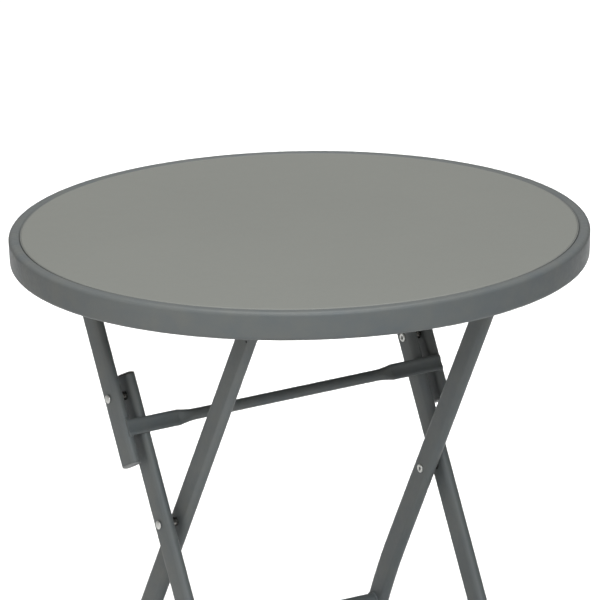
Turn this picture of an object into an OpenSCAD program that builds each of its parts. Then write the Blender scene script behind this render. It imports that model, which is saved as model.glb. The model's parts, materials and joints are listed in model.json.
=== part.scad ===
// Folding bistro table: a round glass top in a steel rim, on a scissor frame of flat-oval tube.
// Origin: on the floor under the centre of the top. +Z is up, every pivot runs along X, -Y is the front.
// The inner legs lean forward at the top, the outer legs lean back, and a pair of short links carries
// the back of the top. Links and outer legs stand in one line when open; the crossbar is their stop.

/* [Table top] */
// Diameter over the rim's rolled edge
top_d = 602; // [580:2:640]
// Height of the rim's crest above the floor
top_h = 700; // [695:1:710]
// Height of the rim
rim_h = 31; // [29:1:34]
// How far the rim's top stands out beyond its bottom
rim_flare = 1; // [0.5:0.5:2]
// Width of the rim's rolled top edge
rim_roll_w = 12; // [11:0.5:16]
// Radius of the rim's outer top edge
rim_top_r = 4.5; // [3.5:0.5:6]
// Radius of the rim's inner top edge
rim_lip_r = 3.5; // [2.5:0.5:5]
// Radius of the rim's bottom roll
rim_bottom_r = 5; // [4:0.5:6]
// Thickness of the rim's sheet steel
sheet_t = 1.2; // [1:0.1:1.5]
// Thickness of the glass
glass_t = 5; // [4:0.5:6]
// Depth of the glass below the rim's crest
glass_drop = 0.25; // [0:0.25:2.5]
// Thickness of the seal under the glass
seal_t = 1.5; // [1:0.25:2]
// Width of the rim's ledge under the glass
ledge_w = 15; // [12:1:18]
// Width of the flange inside the rim's bottom roll
bottom_flange_w = 3; // [2:0.5:5]
// Diameter of a pad between rail and glass
pad_d = 18; // [14:1:24]

/* [Rails and brackets] */
// Width of a rail under the top
rail_w = 30; // [26:1:34]
// Depth of a rail under the top
rail_h = 20; // [16:1:20]
// Wall of a rail
rail_wall = 1.5; // [1:0.25:2]
// Thickness of a pivot bracket
bracket_t = 2; // [1.5:0.5:3]
// Radius of a bracket's rounded lower end
bracket_r = 9; // [8.5:0.5:11]
// Length of a front bracket's base beyond its ear
front_base_w = 28; // [20:1:32]
// Length of a rear bracket's base beyond its ear
rear_base_w = 22; // [18:1:26]

/* [Legs and links] */
// Width of the flat-oval tube
tube_w = 27; // [25:0.5:28]
// Thickness of the flat-oval tube
tube_t = 12; // [11:0.5:13]
// Wall of the flat-oval tube
tube_wall = 1.2; // [1:0.1:1.5]
// Half the distance between the centres of the inner legs
inner_x = 152.4; // [140:0.2:158]
// Sideways step from inner leg to outer leg, and from outer leg to link
plane_step = 20.5; // [20:0.5:23]
// Lean of the inner legs from the vertical, above their bend
inner_lean = 30; // [29:0.5:31]
// Lean of the outer legs from the vertical
outer_lean = 25.5; // [25:0.5:26.5]
// Depth of the scissor pivot behind the table's centre
scissor_y = 0.8; // [-3:0.2:3]
// Height of the scissor pivot
scissor_z = 413.5; // [410:0.5:417]
// Height of the front pivots under the top
front_pivot_z = 649; // [646:0.5:650]
// Height of the rear pivots under the top
rear_pivot_z = 637.7; // [636:0.1:640]
// Tube beyond a top pivot
top_end = 13; // [12:1:14]
// Outer leg beyond its link pivot
outer_end = 20; // [16:1:22]
// Link below its pivot on the outer leg
link_tail = 71; // [65:1:75]

/* [Inner leg bend] */
// Straight length between the scissor pivot and the bend
bend_start = 110; // [100:5:120]
// Radius of the bend's centre line
bend_r = 760; // [700:10:800]
// Angle of the bend
bend_angle = 6; // [5:0.5:7]

/* [Bars] */
// Diameter of the link crossbar's round middle
crossbar_d = 12; // [11:0.5:13]
// Height of the crossbar's flattened ends
crossbar_flat_h = 17; // [16:0.5:18]
// Thickness of the crossbar's flattened ends
crossbar_flat_t = 3.5; // [3:0.5:4]
// Half the crossbar's round length
crossbar_round_x = 119; // [110:1:124]
// Half the distance between the starts of the flattened ends
crossbar_flat_x = 133; // [128:1:140]
// Length of the crossbar's flattened ends beyond the links' centre planes
crossbar_overlap = 2; // [0:0.5:6]
// Distance of the crossbar below the link pivot
crossbar_drop = 35; // [30:1:36]
// Diameter of the lower stretchers
stretcher_d = 16; // [14:1:16]
// Height of the inner stretcher
inner_stretcher_z = 244; // [200:1:246]
// Height of the outer stretcher
outer_stretcher_z = 70; // [64:1:76]
// Depth of the outer stretcher behind the outer legs' centre line
outer_stretcher_back = 2; // [0:0.5:3]

/* [Fasteners and ends] */
// Diameter of a rivet's shank
rivet_d = 6; // [5:0.5:7]
// Diameter of the hole in a rivet's rolled end
rivet_bore_d = 3.4; // [3:0.2:4]
// Depth of the hole in a rivet's rolled end
rivet_bore_depth = 7; // [5:0.5:9]
// Diameter of a rivet's domed head and of its rolled end
rivet_head_d = 9.8; // [9:0.2:11]
// Height of a rivet's domed head
rivet_dome_h = 2.2; // [1.6:0.2:3]
// Height of a rivet's rolled end
rivet_roll_t = 1.2; // [1:0.2:2]
// Step of a rolled end's rounded edge
rivet_roll_step = 0.4; // [0.3:0.1:0.6]
// Diameter of a spacer sleeve between tubes
spacer_d = 9.5; // [8.5:0.5:12]
// Height of a foot along its leg
foot_h = 34; // [28:1:40]
// Wall of a foot
foot_wall = 1.5; // [1:0.25:2]
// Sole under the tube's end
foot_sole = 4; // [3:0.5:5]
// Depth of a plug inside its tube
plug_depth = 12; // [8:1:14]
// Height of a plug's domed end
plug_dome = 3; // [2:0.5:4]
// Diameter of the vent hole in each inner leg
vent_d = 2.6; // [2:0.2:3]
// Vent hole below the front pivot, along the leg
vent_drop = 5.4; // [4:0.1:8]
// Vent hole in front of the leg's centre line
vent_forward = 7.3; // [6.6:0.1:8]

/* [Clearances] */
// Gap between pieces that move past each other
move_gap = 0.3; // [0.3:0.1:0.5]
// Radial clearance of a rivet in a bore
fit_gap = 0.05; // [0.02:0.01:0.1]
// Gap between a tube's cut end and the sole of its foot
foot_gap = 0.2; // [0.1:0.1:0.4]

/* [Hidden] */
$fn = 64;
LEFT = -1;
RIGHT = 1;
SIDES = [LEFT, RIGHT];
round_fn = 240;      // facets round the top
roll_fn = 96;        // facets round the rim's rolls and the glass's edge
crossbar_fn = 32;    // facets of the crossbar's tapers
bend_steps = 6;      // short straight steps along the bend
oval_steps = 12;     // steps round each end of the bent tube's oval
far = 900;           // longer than anything here
hull_end = 0.5;      // overlap of the crossbar's tapers with its round and flat parts

// Colours
steel_grey = [0.36, 0.38, 0.38];
glass_grey = [0.55, 0.55, 0.53];
bare_steel = [0.72, 0.72, 0.70];
plastic_dark = [0.16, 0.17, 0.18];
rubber_dark = [0.10, 0.10, 0.10];

plug_step = 2;                     // a plug's domed end steps in by half of this
plug_relief_r = rivet_d / 2 + 0.5;  // plugs clear the rivets that cross them

// Heights in the top
rim_r = top_d / 2;
wall_r = rim_r - rim_flare;  // the rim's wall at its bottom
rim_bottom_z = top_h - rim_h;
lip_r = rim_r - rim_roll_w;
glass_top_z = top_h - glass_drop;
glass_bottom_z = glass_top_z - glass_t;
ledge_z = glass_bottom_z - seal_t;
rail_top_z = ledge_z - sheet_t;
rail_bottom_z = rail_top_z - rail_h;
bracket_base_z = rail_bottom_z - bracket_t;
seal_wall = 1.2;       // between the glass and the rim
seal_gap = 0.1;        // seal to rim, and plug to tube
seal_top_drop = 0.4;   // seal's wall below the glass's top
seal_foot_w = ledge_w - 1;
glass_r = lip_r - seal_wall;
glass_edge_r = 1;
rail_gap = 1.5;        // between a rail's end and the rim's bottom roll
rail_end_r = wall_r - rim_bottom_r - rail_gap;

// Planes of the tubes, across the table
outer_x = inner_x + plane_step;
link_x = outer_x + plane_step;
plane_gap = plane_step - tube_t;
// The brackets' faces beside the inner legs and beside the links
inner_face_x = inner_x - tube_t / 2 - move_gap;
link_face_x = link_x + tube_t / 2 + move_gap;

// Pivots in the YZ plane: [y, z]
scissor = [scissor_y, scissor_z];
inner_up = [-sin(inner_lean), cos(inner_lean)];
outer_up = [sin(outer_lean), cos(outer_lean)];
inner_reach = (front_pivot_z - scissor_z) / cos(inner_lean);
outer_reach = (rear_pivot_z - scissor_z) / cos(outer_lean);
front_pivot = scissor + inner_reach * inner_up;
rear_pivot = scissor + outer_reach * outer_up;
pivot_span = norm(rear_pivot - front_pivot);
// The frame closes flat because inner_reach = pivot_span - link_reach + link_q
link_q = (inner_reach + outer_reach - pivot_span) / 2;
link_reach = outer_reach - link_q;
link_pivot = scissor + link_q * outer_up;

// The inner leg below its bend
lower_lean = inner_lean - bend_angle;
bend_top = scissor - bend_start * inner_up;
bend_centre = bend_top - bend_r * [cos(inner_lean), sin(inner_lean)];
bend_end = bend_centre + bend_r * [cos(lower_lean), sin(lower_lean)];
inner_foot_y = bend_end[0] + bend_end[1] * tan(lower_lean);
outer_foot_y = scissor_y - scissor_z * tan(outer_lean);
leg_cut_z = foot_sole + foot_gap;

// ---------------------------------------------------------------- shared shapes

// Flat-oval outline: t thick along X, w wide along Y
module oval(w, t) {
    square([t, w - t], center = true);
    for (s = SIDES) translate([0, s * (w - t) / 2]) circle(d = t);
}

// Mirrors its children to the left side when s is LEFT
module on_side(s) {
    if (s == LEFT) mirror([1, 0, 0]) children();
    else children();
}

// Moves its children to a point of the YZ plane and leans them about X; +lean tips their top forward
module at(x, p, lean = 0) {
    translate([x, p[0], p[1]]) rotate([lean, 0, 0]) children();
}

// Cylinder along X between two x values
module rod_x(r, x0, x1) {
    translate([x0, 0, 0]) rotate([0, 90, 0]) cylinder(r = r, h = x1 - x0);
}

// Straight flat-oval tube along Z
module oval_tube(z0, z1) {
    translate([0, 0, z0]) difference() {
        linear_extrude(z1 - z0) oval(tube_w, tube_t);
        translate([0, 0, -1])
            linear_extrude(z1 - z0 + 2) oval(tube_w - 2 * tube_wall, tube_t - 2 * tube_wall);
    }
}

// Bore through a tube at its own pivot, where rivets turn or sit
module rivet_bore() {
    rod_x(rivet_d / 2 + fit_gap, -tube_t, tube_t);
}

// Rolled end of a rivet, bearing against the face at x and stepped at its edge
module rolled_end(x) {
    step_x = x - rivet_roll_t + rivet_roll_step;
    rod_x(rivet_head_d / 2, step_x, x);
    rod_x(rivet_head_d / 2 - rivet_roll_step, x - rivet_roll_t, step_x);
}

// Domed head of a rivet on the face at x: a cap of a ball
module domed_head(x) {
    ball_r = (pow(rivet_head_d / 2, 2) + pow(rivet_dome_h, 2)) / (2 * rivet_dome_h);
    translate([x, 0, 0]) rotate([0, 90, 0]) rotate_extrude() intersection() {
        translate([0, rivet_dome_h - ball_r]) circle(r = ball_r);
        square(ball_r);
    }
}

// Half-tubular rivet along X: its rolled end bears at x0, its domed head at x1
module rivet(x0, x1, rolled = true, domed = true) {
    difference() {
        union() {
            rod_x(rivet_d / 2, rolled ? x0 - rivet_roll_t : x0, x1);
            if (rolled) rolled_end(x0);
            if (domed) domed_head(x1);
        }
        rod_x(rivet_bore_d / 2, x0 - rivet_roll_t - 1, x0 + rivet_bore_depth);
    }
}

// Spacer sleeve along X
module spacer(x0, x1) {
    difference() {
        rod_x(spacer_d / 2, x0, x1);
        rod_x(rivet_d / 2 + fit_gap, x0 - 1, x1 + 1);
    }
}

// Plug whose dome closes a tube's end at z = 0, with its body below
module plug() {
    body_w = tube_w - 2 * tube_wall - seal_gap;
    body_t = tube_t - 2 * tube_wall - seal_gap;
    translate([0, 0, -plug_depth]) linear_extrude(plug_depth) oval(body_w, body_t);
    linear_extrude(plug_dome / 2) oval(tube_w, tube_t);
    translate([0, 0, plug_dome / 2])
        linear_extrude(plug_dome / 2) oval(tube_w - plug_step, tube_t - plug_step);
}

// Foot round the end of a tube that meets the floor at y = 0; z runs up the tube
module foot(lean) {
    difference() {
        rotate([lean, 0, 0]) translate([0, 0, -foot_h])
            linear_extrude(2 * foot_h) oval(tube_w + 2 * foot_wall, tube_t + 2 * foot_wall);
        intersection() {
            rotate([lean, 0, 0]) translate([0, 0, -foot_h])
                linear_extrude(3 * foot_h) oval(tube_w + seal_gap, tube_t + seal_gap);
            translate([-far / 2, -far / 2, foot_sole]) cube([far, far, far]);
        }
        translate([-far / 2, -far / 2, -far]) cube([far, far, far]);
    }
}

// Removes whatever is below a horizontal plane at height z
module trim_below(z) {
    difference() {
        children();
        translate([-far / 2, -far / 2, z - far]) cube([far, far, far]);
    }
}

// A quarter of a ring in the 2D profile: quadrant qx, qy of a ring round the origin
module quarter_ring(r, t, qx, qy) {
    intersection() {
        difference() {
            circle(r = r, $fn = roll_fn);
            circle(r = r - t, $fn = roll_fn);
        }
        translate([qx > 0 ? 0 : -r, qy > 0 ? 0 : -r]) square(r);
    }
}

// ---------------------------------------------------------------- table top

// Pressed steel rim: wall, rolled top, seat for the glass and rolled bottom
module table_rim() {
    wall_z0 = rim_bottom_z + rim_bottom_r;
    wall_z1 = top_h - rim_top_r;
    lip_z1 = top_h - rim_lip_r;
    color(steel_grey) rotate_extrude($fn = round_fn) {
        polygon([[wall_r - sheet_t, wall_z0], [wall_r, wall_z0],
            [rim_r, wall_z1], [rim_r - sheet_t, wall_z1]]);
        translate([rim_r - rim_top_r, wall_z1]) quarter_ring(rim_top_r, sheet_t, 1, 1);
        translate([lip_r + rim_lip_r, top_h - sheet_t])
            square([rim_roll_w - rim_lip_r - rim_top_r, sheet_t]);
        translate([lip_r + rim_lip_r, lip_z1]) quarter_ring(rim_lip_r, sheet_t, -1, 1);
        translate([lip_r, ledge_z - sheet_t]) square([sheet_t, lip_z1 - ledge_z + sheet_t]);
        translate([lip_r - ledge_w, ledge_z - sheet_t]) square([ledge_w + sheet_t, sheet_t]);
        translate([wall_r - rim_bottom_r, wall_z0]) quarter_ring(rim_bottom_r, sheet_t, 1, -1);
        translate([wall_r - rim_bottom_r - bottom_flange_w, rim_bottom_z])
            square([bottom_flange_w, sheet_t]);
    }
}

// Tempered glass with a rounded edge
module glass_panel() {
    color(glass_grey) rotate_extrude($fn = round_fn) translate([0, glass_bottom_z]) {
        square([glass_r - glass_edge_r, glass_t]);
        translate([0, glass_edge_r]) square([glass_r, glass_t - 2 * glass_edge_r]);
        for (z = [glass_edge_r, glass_t - glass_edge_r])
            translate([glass_r - glass_edge_r, z]) circle(r = glass_edge_r, $fn = roll_fn);
    }
}

// Angle seal: a foot under the glass and a wall round its edge
module glass_seal() {
    wall_h = glass_top_z - seal_top_drop - ledge_z;
    color(rubber_dark) rotate_extrude($fn = round_fn) translate([0, ledge_z]) {
        translate([lip_r - seal_foot_w, 0]) square([seal_foot_w, seal_t]);
        translate([lip_r - seal_wall + seal_gap, 0]) square([seal_wall - seal_gap, wall_h]);
    }
}

// Soft pads between the rails and the glass
module glass_pads() {
    color(rubber_dark) for (y = [front_pivot[0], rear_pivot[0]], x = [-1, 0, 1])
        translate([x * inner_x, y, rail_top_z])
            cylinder(d = pad_d, h = glass_bottom_z - rail_top_z);
}

// Box-section rail across the top at depth y, its ends inside the rim
module rail(y) {
    half = sqrt(pow(rail_end_r, 2) - pow(abs(y) + rail_w / 2, 2));
    translate([-half, y - rail_w / 2, rail_bottom_z]) difference() {
        cube([2 * half, rail_w, rail_h]);
        translate([-1, rail_wall, rail_wall])
            cube([2 * half + 2, rail_w - 2 * rail_wall, rail_h - 2 * rail_wall]);
    }
}

module front_rail() { color(steel_grey) rail(front_pivot[0]); }

module rear_rail() { color(steel_grey) rail(rear_pivot[0]); }

// Angle bracket: its ear spans x0 to x0 + bracket_t round the pivot p, and its base, base_w long,
// runs outwards from the ear under the rail
module pivot_bracket(p, x0, base_w) {
    ear_h = rail_bottom_z - p[1];
    color(steel_grey) at(0, p) {
        difference() {
            translate([x0, 0, 0]) rotate([90, 0, 90]) linear_extrude(bracket_t) {
                translate([-bracket_r, 0]) square([2 * bracket_r, ear_h]);
                circle(r = bracket_r);
            }
            rod_x(rivet_d / 2 + fit_gap, x0 - 1, x0 + bracket_t + 1);
        }
        translate([x0 + bracket_t, -bracket_r, bracket_base_z - p[1]])
            cube([base_w, 2 * bracket_r, bracket_t]);
    }
}

// The front brackets stand inside the inner legs
module front_pivot_brackets() {
    for (s = SIDES) on_side(s)
        pivot_bracket(front_pivot, inner_face_x - bracket_t, front_base_w);
}

// The rear brackets stand outside the links
module rear_pivot_brackets() {
    for (s = SIDES) on_side(s)
        pivot_bracket(rear_pivot, link_face_x, rear_base_w);
}

// The brackets' part of the front pivots, flush beside the leg
module front_bracket_rivets() {
    color(bare_steel) for (s = SIDES) on_side(s) at(0, front_pivot)
        rivet(inner_face_x - bracket_t, inner_face_x, true, false);
}

module rear_pivot_rivets() {
    color(bare_steel) for (s = SIDES) on_side(s) at(0, rear_pivot)
        rivet(link_x - tube_t / 2 - move_gap, link_face_x + bracket_t);
}

// ---------------------------------------------------------------- inner legs

// Points of a flat-oval outline, in order round it
function oval_points(w, t) = concat(
    [for (i = [0:oval_steps]) let (a = 180 * i / oval_steps)
        [t / 2 * cos(a), (w - t) / 2 + t / 2 * sin(a)]],
    [for (i = [0:oval_steps]) let (a = 180 + 180 * i / oval_steps)
        [t / 2 * cos(a), (t - w) / 2 + t / 2 * sin(a)]]);

// Rings of the inner leg, from the foot up: [point of the centre line, lean of the ring's plane,
// stretch of the outline in that plane]. The lowest ring is level, as the tube is cut at the foot.
leg_rings = concat(
    [[[inner_foot_y - leg_cut_z * tan(lower_lean), leg_cut_z], 0, 1 / cos(lower_lean)]],
    [for (i = [bend_steps:-1:0]) let (a = inner_lean - i * bend_angle / bend_steps)
        [bend_centre + bend_r * [cos(a), sin(a)], a, 1]],
    [[front_pivot + top_end * inner_up, inner_lean, 1]]);

// An outline point q laid out on a ring
function on_ring(q, ring) = let (y = q[1] * ring[2])
    [q[0], ring[0][0] + y * cos(ring[1]), ring[0][1] + y * sin(ring[1])];

// Hollow bent tube: outer walls, inner walls, then the two cut ends
module bent_tube() {
    outer = oval_points(tube_w, tube_t);
    inner = oval_points(tube_w - 2 * tube_wall, tube_t - 2 * tube_wall);
    n = len(outer);
    last = len(leg_rings) - 1;
    inside = (last + 1) * n;
    top = last * n;
    polyhedron(
        [for (wall = [outer, inner], ring = leg_rings, q = wall) on_ring(q, ring)],
        concat(
            [for (j = [0:last - 1], i = [0:n - 1]) let (k = (i + 1) % n, row = j * n)
                [row + i, row + n + i, row + n + k, row + k]],
            [for (j = [0:last - 1], i = [0:n - 1]) let (k = (i + 1) % n, row = inside + j * n)
                [row + i, row + k, row + n + k, row + n + i]],
            [for (i = [0:n - 1]) let (k = (i + 1) % n) [i, k, inside + k, inside + i]],
            [for (i = [0:n - 1]) let (k = (i + 1) % n)
                [top + i, inside + top + i, inside + top + k, top + k]]));
}

// side places the leg and puts its vent hole in the outer face
module inner_leg(side) {
    vent = front_pivot - vent_drop * inner_up - vent_forward * [cos(inner_lean), sin(inner_lean)];
    color(steel_grey) translate([side * inner_x, 0, 0]) difference() {
        bent_tube();
        at(0, scissor) rivet_bore();
        at(0, front_pivot) rivet_bore();
        at(0, vent) on_side(side) rod_x(vent_d / 2, 0, tube_t);
    }
}

module inner_leg_left() { inner_leg(LEFT); }

module inner_leg_right() { inner_leg(RIGHT); }

// Height z on the inner leg's centre line, below the bend
function inner_leg_y(z) = inner_foot_y - z * tan(lower_lean);

// Height z on the outer leg's centre line
function outer_leg_y(z) = outer_foot_y + z * tan(outer_lean);

// Round tube along X at depth y and height z
module stretcher(half, y, z) {
    color(steel_grey) translate([0, y, z]) difference() {
        rod_x(stretcher_d / 2, -half, half);
        rod_x(stretcher_d / 2 - tube_wall, -half - 1, half + 1);
    }
}

module inner_stretcher() {
    stretcher(inner_x - tube_t / 2, inner_leg_y(inner_stretcher_z), inner_stretcher_z);
}

module inner_foot(side) {
    color(plastic_dark) translate([side * inner_x, inner_foot_y, 0]) foot(lower_lean);
}

module inner_foot_left() { inner_foot(LEFT); }

module inner_foot_right() { inner_foot(RIGHT); }

module inner_plug(side) {
    color(plastic_dark) at(side * inner_x, front_pivot + top_end * inner_up, inner_lean)
        difference() {
            plug();
            translate([0, 0, -top_end]) rod_x(plug_relief_r, -tube_t, tube_t);
        }
}

module inner_plug_left() { inner_plug(LEFT); }

module inner_plug_right() { inner_plug(RIGHT); }

// Scissor rivets are held by the inner legs; the outer legs turn on them
module scissor_rivets() {
    color(bare_steel) for (s = SIDES) on_side(s) at(0, scissor)
        rivet(inner_x - tube_t / 2, outer_x + tube_t / 2 + move_gap);
}

module scissor_spacers() {
    face = inner_x + tube_t / 2;
    color(bare_steel) for (s = SIDES) on_side(s) at(0, scissor)
        spacer(face, face + plane_gap - move_gap);
}

// The legs' part of the front pivots, flush beside the bracket
module front_pivot_rivets() {
    color(bare_steel) for (s = SIDES) on_side(s) at(0, front_pivot)
        rivet(inner_x - tube_t / 2, inner_x + tube_t / 2, false, true);
}

// ---------------------------------------------------------------- outer legs

module outer_leg(side) {
    below = scissor_z / cos(outer_lean) + tube_w;
    color(steel_grey) trim_below(leg_cut_z) difference() {
        at(side * outer_x, scissor, -outer_lean) oval_tube(-below, link_q + outer_end);
        at(side * outer_x, scissor) rivet_bore();
        at(side * outer_x, link_pivot) rivet_bore();
    }
}

module outer_leg_left() { outer_leg(LEFT); }

module outer_leg_right() { outer_leg(RIGHT); }

// The outer stretcher passes behind the inner legs when the frame is folded
module outer_stretcher() {
    stretcher(outer_x - tube_t / 2, outer_leg_y(outer_stretcher_z) + outer_stretcher_back,
        outer_stretcher_z);
}

module outer_foot(side) {
    color(plastic_dark) translate([side * outer_x, outer_foot_y, 0]) foot(-outer_lean);
}

module outer_foot_left() { outer_foot(LEFT); }

module outer_foot_right() { outer_foot(RIGHT); }

module outer_plug(side) {
    color(plastic_dark) at(side * outer_x, link_pivot + outer_end * outer_up, -outer_lean) plug();
}

module outer_plug_left() { outer_plug(LEFT); }

module outer_plug_right() { outer_plug(RIGHT); }

// Link rivets are held by the outer legs; the links turn on them
module link_rivets() {
    color(bare_steel) for (s = SIDES) on_side(s) at(0, link_pivot)
        rivet(outer_x - tube_t / 2, link_x + tube_t / 2 + move_gap);
}

module link_spacers() {
    face = outer_x + tube_t / 2;
    color(bare_steel) for (s = SIDES) on_side(s) at(0, link_pivot)
        spacer(face, face + plane_gap - move_gap);
}

// ---------------------------------------------------------------- links

// Moves its children to the link's frame: origin at its pivot, z towards the top. The link stands
// forward of the outer leg by the gap that the crossbar needs in front of that leg.
module in_link(x = 0) {
    at(x, link_pivot, -outer_lean) translate([0, -move_gap, 0]) children();
}

module link(side) {
    color(steel_grey) difference() {
        in_link(side * link_x) oval_tube(-link_tail, link_reach + top_end);
        at(side * link_x, link_pivot) rivet_bore();
        at(side * link_x, rear_pivot) rivet_bore();
    }
}

module link_left() { link(LEFT); }

module link_right() { link(RIGHT); }

// Outline of the crossbar's flattened end, standing across X
module crossbar_flat(x0, x1) {
    translate([x0, 0, 0]) rotate([0, 90, 0])
        linear_extrude(x1 - x0) rotate(90) oval(crossbar_flat_h, crossbar_flat_t);
}

// Round bar with flattened ends on the links' front edges; they also bear on the outer legs
module link_crossbar() {
    color(steel_grey) in_link()
        translate([0, -(tube_w + crossbar_flat_t) / 2, -crossbar_drop]) {
            rod_x(crossbar_d / 2, -crossbar_round_x, crossbar_round_x);
            for (s = SIDES) on_side(s) {
                hull() {
                    rod_x(crossbar_d / 2, crossbar_round_x - hull_end, crossbar_round_x, $fn = crossbar_fn);
                    crossbar_flat(crossbar_flat_x, crossbar_flat_x + hull_end,
                        $fn = crossbar_fn);
                }
                crossbar_flat(crossbar_flat_x, link_x + crossbar_overlap);
            }
        }
}

module link_lower_plugs() {
    color(plastic_dark) for (s = SIDES)
        in_link(s * link_x) translate([0, 0, -link_tail]) mirror([0, 0, 1]) plug();
}

module link_upper_plugs() {
    color(plastic_dark) for (s = SIDES) difference() {
        in_link(s * link_x) translate([0, 0, link_reach + top_end]) plug();
        at(s * link_x, rear_pivot) rod_x(plug_relief_r, -tube_t, tube_t);
    }
}

// ---------------------------------------------------------------- nodes

table_rim();
glass_panel();
glass_seal();
glass_pads();
front_rail();
rear_rail();
front_pivot_brackets();
rear_pivot_brackets();
front_bracket_rivets();
rear_pivot_rivets();
inner_leg_left();
inner_leg_right();
inner_stretcher();
inner_foot_left();
inner_foot_right();
inner_plug_left();
inner_plug_right();
scissor_rivets();
scissor_spacers();
front_pivot_rivets();
outer_leg_left();
outer_leg_right();
outer_stretcher();
outer_foot_left();
outer_foot_right();
outer_plug_left();
outer_plug_right();
link_rivets();
link_spacers();
link_left();
link_right();
link_crossbar();
link_lower_plugs();
link_upper_plugs();
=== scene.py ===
"""Looks of the folding bistro table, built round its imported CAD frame. Metres; +Z up; -Y is the front."""

import json
import math

import bmesh
import bpy
from mathutils import Matrix, Quaternion, Vector


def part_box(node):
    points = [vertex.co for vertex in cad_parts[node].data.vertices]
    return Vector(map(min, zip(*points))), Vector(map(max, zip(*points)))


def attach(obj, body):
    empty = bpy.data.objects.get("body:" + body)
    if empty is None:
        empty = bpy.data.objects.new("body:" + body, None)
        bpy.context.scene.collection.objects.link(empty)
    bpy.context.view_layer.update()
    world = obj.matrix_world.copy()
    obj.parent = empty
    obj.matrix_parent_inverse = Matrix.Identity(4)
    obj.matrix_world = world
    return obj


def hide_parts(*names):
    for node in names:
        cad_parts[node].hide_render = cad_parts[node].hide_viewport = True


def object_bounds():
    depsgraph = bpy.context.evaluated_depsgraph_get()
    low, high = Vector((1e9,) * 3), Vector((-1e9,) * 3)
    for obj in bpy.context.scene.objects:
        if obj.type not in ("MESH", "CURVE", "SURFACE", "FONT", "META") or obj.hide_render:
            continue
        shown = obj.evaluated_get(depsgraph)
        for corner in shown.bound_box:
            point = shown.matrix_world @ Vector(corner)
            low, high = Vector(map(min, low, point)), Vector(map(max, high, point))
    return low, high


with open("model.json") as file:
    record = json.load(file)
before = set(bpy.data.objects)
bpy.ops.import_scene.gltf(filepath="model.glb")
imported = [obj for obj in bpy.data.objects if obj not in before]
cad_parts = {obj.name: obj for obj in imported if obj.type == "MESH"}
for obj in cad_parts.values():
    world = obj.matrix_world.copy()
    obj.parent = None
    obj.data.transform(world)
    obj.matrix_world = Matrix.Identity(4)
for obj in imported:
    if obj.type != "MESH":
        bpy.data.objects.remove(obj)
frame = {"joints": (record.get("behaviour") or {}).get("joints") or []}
CAD_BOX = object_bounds()
MM = 0.001

# ---------------------------------------------------------------- places, read from the frame

JOINT = {joint["name"]: Vector(joint["pos_m"]) for joint in frame["joints"]}


def middle(node):
    """Centre of a CAD node's box."""
    low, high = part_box(node)
    return (Vector(low) + Vector(high)) / 2


def lean_of(p, q):
    """Angle of the line from p up to q, from the vertical; positive leans towards the front."""
    return math.atan2(p.y - q.y, q.z - p.z)


SCISSOR = JOINT["scissor_fold"]
LINK_PIVOT = JOINT["link_fold"]
REAR_PIVOT = JOINT["top_fold"]
FRONT_PIVOT = Vector((0, middle("front_bracket_rivets").y, middle("front_bracket_rivets").z))
INNER_X = middle("inner_leg_right").x
OUTER_X = middle("outer_leg_right").x
LINK_X = middle("link_right").x
INNER_LEAN = lean_of(SCISSOR, FRONT_PIVOT)
OUTER_LEAN = lean_of(SCISSOR, LINK_PIVOT)
LEFT, RIGHT = -1, 1
SIDES = {"left": LEFT, "right": RIGHT}

# ---------------------------------------------------------------- sizes that the CAD part uses

TUBE_W = 27 * MM  # flat-oval tube, across its wide side
TUBE_T = 12 * MM  # the same tube, across its flat faces
FACE = TUBE_T / 2
TOP_END = 13 * MM  # inner legs and links beyond the top pivots
OUTER_END = 20 * MM  # outer legs beyond the link pivots
LINK_TAIL = 71 * MM  # links below the link pivots
LINK_REACH = (REAR_PIVOT - LINK_PIVOT).length
MOVE_GAP = 0.3 * MM  # air between pieces that move past each other
SKIN_GAP = 0.02 * MM  # air between faces that would otherwise coincide
LEG_CUT_Z = 4.2 * MM  # height of the legs' level cut, inside the feet
BEND_START = 110 * MM  # inner leg's bend, below the scissor pivot
BEND_RADIUS = 760 * MM
BEND_ANGLE = math.radians(6)
SHEET = 1.2 * MM  # the rim's pressed steel
RIM_RADIUS = min(-CAD_BOX[0][0], -CAD_BOX[0][1], CAD_BOX[1][0], CAD_BOX[1][1]) - SKIN_GAP
RIM_FLARE = 1 * MM  # how far the rim's wall leans out from bottom to top
RIM_ROLL = 12 * MM  # width of the rolled edge
RIM_LOW, RIM_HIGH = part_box("table_rim")[0][2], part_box("table_rim")[1][2]
GLASS_LOW, GLASS_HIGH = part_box("glass_panel")[0][2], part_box("glass_panel")[1][2]
GLASS_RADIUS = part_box("glass_panel")[1][0]
LEDGE_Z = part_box("glass_seal")[0][2]
BRACKET_R = (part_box("front_pivot_brackets")[1][1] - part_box("front_pivot_brackets")[0][1]) / 2
BRACKET_T = 2 * MM
RIVET_R = 3 * MM
RIVET_BORE = 1.9 * MM  # radius of the hollow in the rolled end
RIVET_BORE_DEPTH = 7 * MM
RIVET_HEAD = 4.55 * MM  # radius of the domed head and of the rolled end
RIVET_ROLL = 1.2 * MM
TOP_STEPS = 256  # facets round the table top
RIVET_STEPS = 48


# ---------------------------------------------------------------- mesh tools

def up(lean):
    """Unit vector up a tube that leans by that angle."""
    return Vector((0, -math.sin(lean), math.cos(lean)))


def across(lean):
    """Unit vector square to a leaning tube, towards the back."""
    return Vector((0, math.cos(lean), math.sin(lean)))


def arc(cx, cy, r, a0, a1, steps):
    """Points on an arc between two angles in degrees."""
    angles = [math.radians(a0 + (a1 - a0) * i / steps) for i in range(steps + 1)]
    return [(cx + r * math.cos(a), cy + r * math.sin(a)) for a in angles]


def oval(w, t, steps=14):
    """Outline of a flat oval, t across X and w across Y."""
    reach = (w - t) / 2
    return arc(0, reach, t / 2, 0, 180, steps) + arc(0, -reach, t / 2, 180, 360, steps)


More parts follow.
